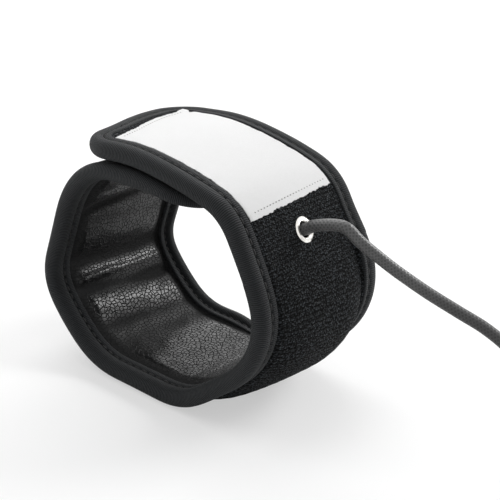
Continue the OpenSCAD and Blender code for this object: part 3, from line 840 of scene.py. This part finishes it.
def amber_film():
    """Amber insulating film."""
    material, tree, shader = new_material("amber_film")
    here = object_place(tree)
    tone = uneven(tree, here, 60.0, 900.0, 0.3)
    feed(tree, shader.inputs["Base Color"], tinted(tree, tone, (0.55, 0.25, 0.05, 1)))
    set_even(shader, Roughness=0.25)
    raise_surface(tree, shader, noisy(tree, here, 220.0, 2), 0.05)
    return material


# ---------------------------------------------------------------------------
# The strap's soft pieces

BODY_START = INNER_END + EDGE_INSET
FLAP_STOP = FLAP_END - EDGE_INSET
COVER_STEP = 0.45
PADDING_STEP = 1.0
ACROSS_CLOTH = np.linspace(-1, 1, 90)
ACROSS_PADDING = np.linspace(-1, 1, 30)

CLOTH_CROWN = 0.2
CLOTH_BULGE = 4.0  # the cloth stands out from the pad on the side of the loop under the eyelet
BULGE_STRETCH = ((8, 22), (44, 68))
BULGE_LEAN = 0.35  # more of it lies towards the far rim
HOLE_N = 0.4  # height of the cloth at the eyelet's hole
HOLE_BAND = (2.0, 2.6)
TAPE_BAND = (18.2, 19.2)
UNDER_TAPE_N = 1.84


def cloth_top(s, y):
    """Outer face: a little crowned between the bindings, sunk where the cable goes through."""
    across = np.clip(y / CLOTH_HALF, -1, 1)
    bulge = CLOTH_BULGE * along_stretch(s, *BULGE_STRETCH) * (1 + BULGE_LEAN * across)
    crown = CLOTH_CROWN * (1 - across ** 2) + bulge * (1 - across ** 4)
    fuzz = 0.05 * smooth_noise(s * 2.1, y * 2.3, 11) + 0.05 * smooth_noise(s * 0.5, y * 0.6, 12)
    full = HALF_THICK + crown + fuzz
    hole = step_up(np.hypot(s - EYELET_S, y), *HOLE_BAND)
    under_tape = step_up(np.abs(y), *TAPE_BAND)
    shown = np.where(hole < 1, HOLE_N + (full - HOLE_N) * hole, full)
    return shown * (1 - under_tape) + UNDER_TAPE_N * under_tape


def cloth_bottom(s, y):
    return FOAM_TOP + 0 * s


# Folds of the lining: where the strap bends inwards the soft layer is pushed into ridges.
# Each is (s at the middle of the strap, slant in mm along per mm across, width, height).
FOLDS = [
    (-37.6, 0.06, 1.7, 1.25),
    (-43.4, 0.03, 2.2, -1.45),
    (-33.2, 0.08, 1.7, -1.45),
    (-27.0, 0.10, 3.4, 0.8),
    (-20.5, 0.12, 2.2, -0.60),
    (-13.5, 0.10, 3.0, -0.40),
    (-2.0, 0.02, 5.0, 0.35),
    (-50.5, 0.04, 3.6, 0.55),
    (-57.5, 0.05, 1.6, -0.10),
    (-64.5, -0.12, 1.5, -1.1),
    (-68.8, -0.10, 1.6, 0.30),
    (-75.0, -0.06, 3.6, 1.10),
    (-82.5, -0.04, 1.8, -0.40),
    (-89.0, 0.02, 2.4, 0.25),
    (14.0, -0.04, 2.2, 0.25),
    (24.0, 0.05, 2.4, -0.25),
    (33.0, 0.03, 3.0, 0.35),
    (45.0, -0.03, 2.0, -0.3),
    (52.0, 0.02, 3.2, 0.4),
    (61.0, 0.02, 2.0, -0.3),
]


LINING_SWELL = 1.0
LINING_BAND = (15.0, 18.9)  # where the lining falls to the binding
DEEPEST_HOLLOW = -0.45


def lining_face(s, y):
    """Inner face, measured outwards, so it is negative: a soft swell with folds."""
    edge = 1 - step_up(np.abs(y), *LINING_BAND)
    swell = LINING_SWELL * edge
    for at, slant, width, height in FOLDS:
        middle = at + slant * y + 0.8 * smooth_noise(y / 5, at + 0 * y, 21)
        strength = 0.8 + 0.35 * smooth_noise(y / 6, at + 9 + 0 * y, 22)
        swell = swell + height * strength * bump_at(s, middle, width) * edge
    swell = swell + 0.07 * smooth_noise(s * 0.9, y * 0.7, 23) * edge
    swell = swell + 0.03 * smooth_noise(s * 2.6, y * 2.4, 24) * edge
    return -(HALF_THICK - 0.06 + np.maximum(swell, DEEPEST_HOLLOW))


def lining_back(s, y):
    return LINING_TOP + 0 * s


def mark_relief(obj, s_values, width):
    """Keeps how far the lining stands up, in millimetres, for its finish: hollows are dull."""
    s, v = np.meshgrid(s_values, ACROSS_CLOTH, indexing="ij")
    relief = -lining_face(s, v * width(s)) - HALF_THICK
    layer = obj.data.attributes.new("relief", "FLOAT", "POINT")
    layer.data.foreach_set("value", np.tile(relief.ravel(), 2).astype(np.float32))


def padding_top(s, y):
    return FOAM_TOP - 0.05 + 0 * s


def padding_bottom(s, y):
    return LINING_TOP + 0.05 + 0 * s


def bend_at_root(obj):
    """Bakes the piece's placement into its mesh. The flap's pieces already follow the strap before the fold
    at the flap's root and the flap after it, as place() lays them out; the root's two ends are worked out
    here but not used.
    """
    start = place(ROOT_START_S, 0, 0) * MM
    end = place(ROOT_END_S, 0, 0) * MM
    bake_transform(obj)


def body_width(s):
    return rounded_width(s, BODY_START, 1)


def flap_width(s):
    return rounded_width(s, FLAP_STOP, -1)


BODY_S = spaced(BODY_START + 0.02, SEAM_S, COVER_STEP)
FLAP_COVER_S = spaced(SEAM_S, FLAP_STOP - 0.02, COVER_STEP)
PADDING_S = spaced(FLAP_S + 0.4, FLAP_STOP - 0.1, PADDING_STEP)


def finish_piece(obj, material, stands_for=None):
    obj.data.materials.append(material)
    if stands_for:
        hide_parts(stands_for)


def make_outer_cloth(cloth):
    body = layer_piece("outer_cloth", BODY_S, ACROSS_CLOTH, body_width, cloth_top, cloth_bottom)
    flap = layer_piece("outer_cloth_flap", FLAP_COVER_S, ACROSS_CLOTH, flap_width, cloth_top, cloth_bottom)
    finish_piece(body, cloth, "pile_fabric")
    finish_piece(flap, cloth, "flap_pile")
    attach(body, "strip")
    bend_at_root(flap)
    return body, flap


def make_lining(leather):
    body = layer_piece("lining", BODY_S, ACROSS_CLOTH, body_width, lining_back, lining_face)
    flap = layer_piece("lining_flap", FLAP_COVER_S, ACROSS_CLOTH, flap_width, lining_back, lining_face)
    mark_relief(body, BODY_S, body_width)
    mark_relief(flap, FLAP_COVER_S, flap_width)
    finish_piece(body, leather, "leather_lining")
    finish_piece(flap, leather, "flap_lining")
    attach(body, "strip")
    bend_at_root(flap)


def make_flap_padding(foam):
    pad = layer_piece("flap_padding", PADDING_S, ACROSS_PADDING, flap_width, padding_top, padding_bottom)
    finish_piece(pad, foam, "flap_foam")
    bend_at_root(pad)


# ---------------------------------------------------------------------------
# Edge binding

ROLL_PROFILE = [
    (1.70, 6.50), (2.08, 6.48), (2.24, 6.36), (2.31, 6.10), (2.32, 5.70), (2.30, 5.25), (2.22, 4.90),
    (2.04, 4.66), (1.80, 4.52), (1.68, 4.38), (1.76, 4.20), (2.00, 4.00), (2.22, 3.70), (2.38, 3.25),
    (2.45, 2.75), (2.44, 2.20), (2.34, 1.65), (2.13, 1.12), (1.79, 0.68), (1.33, 0.34), (0.72, 0.09),
]
GROOVE_DEPTH = 4.4
RIM_STEP = 0.5


def binding_outline():
    upper = np.array(ROLL_PROFILE)
    lower = upper[::-1] * np.array([-1, 1])
    inside = np.array([(-1.4, 6.2), (-1.4, 1.8), (1.4, 1.8), (1.4, 6.2)])
    return np.concatenate([upper, [(0.0, 0.0)], lower, inside])


def rim_stations(cut, corner, toward):
    """Stations along one edge from the cut, round the end and back along the other edge. toward
    is 1 where the end lies at growing s. Each is (s, y, radius, angle, distance along)."""
    side = -1 if toward > 0 else 1
    edge = spaced(cut, corner, RIM_STEP)
    first = [(s, 0.0, HALF_WIDTH, side * math.pi / 2) for s in edge]
    turn = np.linspace(0, math.pi / 2, 26)[1:]
    corner_y = HALF_WIDTH - CORNER_R
    start = side * math.pi / 2
    one = [(corner, side * corner_y, CORNER_R, start + t) for t in turn]
    across = spaced(side * corner_y, -side * corner_y, RIM_STEP)[1:-1]
    flat = [(corner, y, CORNER_R, start + math.pi / 2) for y in across]
    two = [(corner, -side * corner_y, CORNER_R, start + math.pi / 2 + t) for t in np.concatenate([[0], turn])]
    last = [(s, 0.0, HALF_WIDTH, start + math.pi) for s in edge[::-1][1:]]
    stations = np.array(first + one + flat + two + last)
    edge_points = stations[:, :2] + stations[:, 2:3] * np.stack(
        [np.cos(stations[:, 3]), np.sin(stations[:, 3])], axis=1
    )
    along = np.concatenate([[0], np.cumsum(np.linalg.norm(np.diff(edge_points, axis=0), axis=1))])
    return np.column_stack([stations, along])


STITCH_PITCH = 2.6
STITCH_LENGTH = 1.9
STITCH_N = 1.92  # height of a stitch's middle over the laminate's
STITCH_WIDTH = 0.24
STITCH_HEIGHT = 0.22
STITCH_RINGS = [  # share of the length, rise, share of the girth
    (0.0, -0.12, 0.35), (0.12, 0.06, 0.9), (0.5, 0.14, 1.0), (0.88, 0.06, 0.9), (1.0, -0.12, 0.35),
]
SIX_AROUND = np.linspace(0, 2 * math.pi, 7)[:-1]


def stitch_row(name, stations, face):
    """Thread stitches lying in the groove on one face of the binding."""
    along = stations[:, 4]
    points, faces, uv = [], [], []
    for start in np.arange(0.6, along[-1] - STITCH_LENGTH, STITCH_PITCH):
        faces.extend(ring_faces(len(points), len(STITCH_RINGS), len(SIX_AROUND)))
        for share, rise, girth in STITCH_RINGS:
            at = start + share * STITCH_LENGTH
            s, y, radius, angle = [np.interp(at, along, stations[:, k]) for k in range(4)]
            for a in SIX_AROUND:
                reach = radius - GROOVE_DEPTH - STITCH_WIDTH * girth * math.cos(a)
                n = face * (STITCH_N + rise + STITCH_HEIGHT * girth * math.sin(a))
                points.append(place(s + reach * math.cos(angle), y + reach * math.sin(angle), n))
                uv.append((at * MM, a / 10))
    return make_mesh(name, points, faces, uv, 60)


def make_binding(tape, thread):
    """The rolled tape round the body and round the flap, each with a row of stitches on both faces."""
    outline = binding_outline()
    body = rim_stations(SEAM_S, INNER_END + CORNER_R, -1)
    flap = rim_stations(SEAM_S, FLAP_END - CORNER_R, 1)
    body_roll = swept_piece("edge_roll", body, outline)
    flap_roll = swept_piece("edge_roll_flap", flap, outline)
    finish_piece(body_roll, tape, "edge_binding")
    finish_piece(flap_roll, tape, "flap_binding")
    body_pieces = [body_roll]
    flap_pieces = [flap_roll]
    for label, face in (("outer", 1), ("inner", -1)):
        body_pieces.append(stitch_row(f"stitches_body_{label}", body, face))
        flap_pieces.append(stitch_row(f"stitches_flap_{label}", flap, face))
    for stitches in body_pieces[1:] + flap_pieces[1:]:
        finish_piece(stitches, thread)
    for obj in body_pieces + flap_pieces:
        set_outward(obj)
    for obj in body_pieces:
        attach(obj, "strip")
    for obj in flap_pieces:
        bend_at_root(obj)


# ---------------------------------------------------------------------------
# Label

LABEL_END = FLAP_END - 8.5  # it stops short of the flap's end
LABEL_LENGTH = 47.4
LABEL_START = LABEL_END - LABEL_LENGTH
LABEL_HALF = 17.9
LABEL_T = 0.25
LABEL_SHIFT = 0.4
LABEL_SKEW = 0.045
LABEL_CROWN = 0.16
LABEL_LIFT = 0.10
NOTCH_DEPTH = 1.6  # a snip in the far edge, near the flap's end
NOTCH_BACK = 3.2
CORNER_LIFT = 0.35  # the far corner stands up a little


def label_crown(y):
    return LABEL_CROWN * (1 - (y / CLOTH_HALF) ** 2)


def make_label(satin):
    s, v = np.meshgrid(spaced(LABEL_START, LABEL_END, 0.5), np.linspace(-1, 1, 74), indexing="ij")
    along = (s - LABEL_START) / LABEL_LENGTH
    end_wave = 0.22 * smooth_noise(v * 30, 0 * v, 31) + 0.18 * smooth_noise(v * 75, 0 * v, 32)
    side_wave = 0.2 * smooth_noise(s * 1.1, 0 * s, 33) + 0.16 * smooth_noise(s * 2.9, 0 * s, 34)
    notch = NOTCH_DEPTH * bump_at(s, LABEL_END - NOTCH_BACK, 0.7) * step_up(v, 0.9, 1.0)
    y = v * (LABEL_HALF + side_wave * np.abs(v) ** 8) - notch - LABEL_SHIFT
    s = s + end_wave * (2 * along - 1) ** 9 + LABEL_SKEW * (y - LABEL_HALF)
    corner = CORNER_LIFT * bump_at(s, LABEL_END, 2.5) * step_up(v, 0.8, 1)
    lift = LABEL_LIFT + 0.05 * smooth_noise(s * 0.4, y * 0.3, 35) + corner
    base = HALF_THICK + label_crown(y) + lift
    label = sheet_piece("woven_label", s, y, base + LABEL_T, base)
    set_outward(label)
    finish_piece(label, satin, "label")
    bend_at_root(label)


NEEDLE_PITCH = 1.3
NEEDLE_EDGE = 1.5  # from the label's ends
NEEDLE_REACH = 15.6
NEEDLE_RINGS = [(-0.08, 0.16), (0.05, 0.16), (0.09, 0.08)]  # height over the label, radius


def make_label_stitches(thread):
    """Small needle holes with thread along both ends of the label."""
    points, faces = [], []
    for at in (LABEL_START + NEEDLE_EDGE, LABEL_END - NEEDLE_EDGE):
        for y in np.arange(-NEEDLE_REACH, NEEDLE_REACH + 0.1, NEEDLE_PITCH):
            faces.extend(ring_faces(len(points), len(NEEDLE_RINGS), len(SIX_AROUND)))
            skewed = at + LABEL_SKEW * (y - LABEL_HALF)
            n = HALF_THICK + label_crown(y) + LABEL_LIFT + LABEL_T
            for level, size in NEEDLE_RINGS:
                for a in SIX_AROUND:
                    points.append(place(skewed + size * math.cos(a), y + 1.2 * size * math.sin(a), n + level))
    stitches = make_mesh("label_stitches", points, faces, None, 60)
    set_outward(stitches)
    finish_piece(stitches, thread)
    bend_at_root(stitches)


# ---------------------------------------------------------------------------
# Hook patch under the flap

HOOK_START = FLAP_END - 38.2
HOOK_LEN = 24.0
HOOK_HALF = 17.0
HOOK_PLATE_N = -HALF_THICK - 0.02
HOOK_PLATE_T = 0.4
HOOK_ROW_PITCH = 1.5
HOOK_PITCH = 1.15
HOOK_BEND = [  # along, height and thickness of one hook, from its root to its tip
    (0.0, 0.0, 0.17), (0.02, -0.22, 0.15), (0.10, -0.40, 0.13), (0.26, -0.50, 0.11), (0.40, -0.42, 0.08),
]
SQUARE = [(-1, -1), (1, -1), (1, 1), (-1, 1)]


def hook_plate_top(s, y):
    return HOOK_PLATE_N + 0 * s


def hook_plate_bottom(s, y):
    return HOOK_PLATE_N - HOOK_PLATE_T + 0 * s


def hook_width(s):
    return HOOK_HALF + 0 * s


def hook_points(s, y, toward):
    """Rings of four points along one hook that bends towards growing s, or away from it."""
    points = []
    for along, rise, thick in HOOK_BEND:
        for side, out in SQUARE:
            hook_s = s + toward * (along + 0.45 * thick * out)
            hook_n = HOOK_PLATE_N - 0.36 + rise + 0.3 * thick * out
            points.append(place(hook_s, y + 0.7 * thick * side, hook_n))
    return points


def make_hook_patch(nylon):
    """A thin plate under the flap with rows of hooks that bend both ways in turn."""
    s_values = spaced(HOOK_START, HOOK_START + HOOK_LEN, 1.0)
    plate = layer_piece(
        "hook_plate", s_values, np.linspace(-1, 1, 18), hook_width, hook_plate_top, hook_plate_bottom,
    )
    points, faces = [], []
    columns = np.arange(-HOOK_HALF + 0.8, HOOK_HALF - 0.4, HOOK_PITCH)
    for i, s in enumerate(np.arange(HOOK_START + 0.8, HOOK_START + HOOK_LEN - 0.4, HOOK_ROW_PITCH)):
        toward = 1 if i % 2 == 0 else -1
        for y in columns:
            faces.extend(ring_faces(len(points), len(HOOK_BEND), len(SQUARE)))
            points.extend(hook_points(s, y, toward))
    hooks = make_mesh("hooks", points, faces, None, 40)
    set_outward(hooks)
    finish_piece(plate, nylon, "hook_patch")
    finish_piece(hooks, nylon)
    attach(plate, "flap")
    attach(hooks, "flap")


# ---------------------------------------------------------------------------
# Lint on the outer cloth


LINT_HALF = 17.5  # hairs lie this far to each side
LINT_RINGS = 5
LINT_AROUND = (0.5, 2.6, 4.7)
EYELET_CLEAR = 4.5
LINT_FROM_S = -20
BODY_HAIRS = 150
FLAP_HAIRS = 40


def make_lint(name, low, high, count, seed, pale):
    """Short pale hairs lying on the pile."""
    random = np.random.default_rng(seed)
    steps = LINT_RINGS - 1
    points, faces = [], []
    for _ in range(count):
        s = random.uniform(low, high)
        y = random.uniform(-LINT_HALF, LINT_HALF)
        if math.hypot(s - EYELET_S, y) < EYELET_CLEAR:
            continue
        turn = random.uniform(0, 2 * math.pi)
        curl = random.uniform(-1.2, 1.2)
        length = random.uniform(0.3, 1.0)
        radius = random.uniform(0.010, 0.02)
        faces.extend(ring_faces(len(points), LINT_RINGS, len(LINT_AROUND)))
        for k in range(LINT_RINGS):
            angle = turn + curl * k / steps
            s += length / steps * math.cos(angle)
            y += length / steps * math.sin(angle)
            n = HALF_THICK + 0.2 + 0.15 * math.sin(math.pi * k / steps)
            for a in LINT_AROUND:
                aside = radius * math.cos(a)
                points.append(place(
                    s - aside * math.sin(angle), y + aside * math.cos(angle), n + radius * math.sin(a),
                ))
    hairs = make_mesh(name, points, faces, None, 60)
    set_outward(hairs)
    finish_piece(hairs, pale)
    return hairs


# ---------------------------------------------------------------------------
# Floor, lamps and surroundings


FLOOR_SIZE = 6
FLOOR_DROP = 0.0002  # keeps the floor clear of the rims that rest on it
FLOOR_WHITE = 0.5  # share of plain white in what the camera sees of the floor


def make_floor():
    bpy.ops.mesh.primitive_plane_add(size=FLOOR_SIZE, location=(0, 0, -FLOOR_DROP))
    floor = bpy.context.active_object
    floor.name = "floor"
    material, tree, shader = new_material("pale_floor")
    set_even(shader, Base_Color=grey(0.93), Roughness=0.9, Specular_IOR_Level=0.1)
    light = add(tree, "ShaderNodeLightPath")
    white = add(tree, "ShaderNodeEmission")
    mix = add(tree, "ShaderNodeMixShader")
    out = tree.nodes["Material Output"]
    tree.links.new(calc(tree, "MULTIPLY", light.outputs["Is Camera Ray"], FLOOR_WHITE), mix.inputs[0])
    tree.links.new(shader.outputs[0], mix.inputs[1])
    tree.links.new(white.outputs[0], mix.inputs[2])
    tree.links.new(mix.outputs[0], out.inputs["Surface"])
    floor.data.materials.append(material)


SOFT_LIGHT = 0.45


def make_world():
    """Soft light all round, which the camera and mirrored rays see as plain white."""
    world = bpy.data.worlds.new("surroundings")
    bpy.context.scene.world = world
    world.use_nodes = True
    tree = world.node_tree
    tree.nodes.clear()
    out = add(tree, "ShaderNodeOutputWorld")
    light = add(tree, "ShaderNodeLightPath")
    mix = add(tree, "ShaderNodeMixShader")
    seen = calc(tree, "MAXIMUM", light.outputs["Is Camera Ray"], light.outputs["Is Glossy Ray"])
    seen = calc(tree, "MAXIMUM", seen, light.outputs["Is Transmission Ray"])
    tree.links.new(seen, mix.inputs[0])
    for strength, socket in ((SOFT_LIGHT, mix.inputs[1]), (1.0, mix.inputs[2])):
        white = add(tree, "ShaderNodeBackground")
        white.inputs["Color"].default_value = grey(1)
        white.inputs["Strength"].default_value = strength
        tree.links.new(white.outputs[0], socket)
    tree.links.new(mix.outputs[0], out.inputs["Surface"])


LAMP_TARGET = (0, 0, 0.03)
LAMPS = [  # name, place, size, power
    ("top_softbox", (-0.30, 0.20, 0.70), (0.6, 0.5), 3.2),
    ("back_softbox", (0.27, 0.60, 0.46), (0.34, 0.24), 3.6),
    ("low_softbox", (-0.44, 0.58, 0.32), (0.28, 0.16), 0.42),
    ("left_softbox", (-0.48, -0.35, 0.58), (0.5, 0.4), 1.2),
]


def make_lamps():
    for name, at, size, power in LAMPS:
        lamp = bpy.data.lights.new(name, "AREA")
        lamp.shape = "RECTANGLE"
        lamp.size, lamp.size_y = size
        lamp.energy = power
        obj = bpy.data.objects.new(name, lamp)
        bpy.context.collection.objects.link(obj)
        obj.location = at
        obj.rotation_euler = (Vector(LAMP_TARGET) - Vector(at)).to_track_quat("-Z", "Y").to_euler()
    bpy.context.scene.view_settings.view_transform = "Standard"


# ---------------------------------------------------------------------------
# Materials of the frame's own pieces


def dress_frame(foam, black):
    """Gives the pieces that keep their own form their materials."""
    nickel = scratched_metal("bright_nickel", (0.86, 0.84, 0.80, 1), 0.2)
    dark = grained_plastic("black_insulation", grey(0.015), 0.4)
    finishes = {
        "eyelet": nickel,
        "eyelet_washer": nickel,
        "cable_stop": black,
        "foam_pad": foam,
        "heater_film": amber_film(),
        "heater_track": scratched_metal("etched_copper", (0.75, 0.38, 0.22, 1), 0.35),
        "terminal_pads": scratched_metal("solder_tin", (0.66, 0.64, 0.60, 1), 0.3, depth=0.03),
        "lead_sleeves": dark,
        "lead_negative": dark,
        "lead_positive": grained_plastic("red_insulation", (0.42, 0.02, 0.02, 1), 0.4),
        "plug_housing": black,
        "plug_strain_relief": grained_plastic("strain_relief_rubber", grey(0.02), 0.7, 2600.0, 0.03),
        "plug_shell": scratched_metal(
            "brushed_steel_shell", (0.70, 0.70, 0.71, 1), 0.28, (0.15, 2.5, 2.5), 0.015,
        ),
        "plug_contacts": scratched_metal("gold_contact", (0.83, 0.60, 0.24, 1), 0.2, (2.5, 0.2, 1)),
        "plug_tongue": grained_plastic("white_tongue", (0.82, 0.82, 0.80, 1), 0.35),
    }
    for name, material in finishes.items():
        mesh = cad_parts[name].data
        mesh.materials.clear()
        mesh.materials.append(material)


# ---------------------------------------------------------------------------

CLOTH = loop_pile()
LEATHER = pebbled_leather()
FOAM = open_foam()
TAPE = binding_tape()
BLACK_THREAD = grained_plastic("black_thread", grey(0.010), 0.75, 5000.0, 0.05)
GREY_THREAD = grained_plastic("grey_thread", grey(0.16), 0.8, 5000.0, 0.05)
PALE_HAIR = grained_plastic("pale_lint", grey(0.22), 0.8)

set_camera()
make_cable(braided_sleeve())
dress_frame(FOAM, grained_plastic("black_moulding", grey(0.018), 0.55))
OUTER_CLOTH = make_outer_cloth(CLOTH)
make_lining(LEATHER)
make_flap_padding(FOAM)
make_binding(TAPE, BLACK_THREAD)
make_label(satin_label())
make_label_stitches(GREY_THREAD)
make_hook_patch(grained_plastic("black_nylon", grey(0.014), 0.35))
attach(make_lint("lint_body", LINT_FROM_S, SEAM_S, BODY_HAIRS, 41, PALE_HAIR), "strip")
bend_at_root(make_lint("lint_flap", SEAM_S, LABEL_START - 0.5, FLAP_HAIRS, 42, PALE_HAIR))
make_floor()
make_world()
make_lamps()
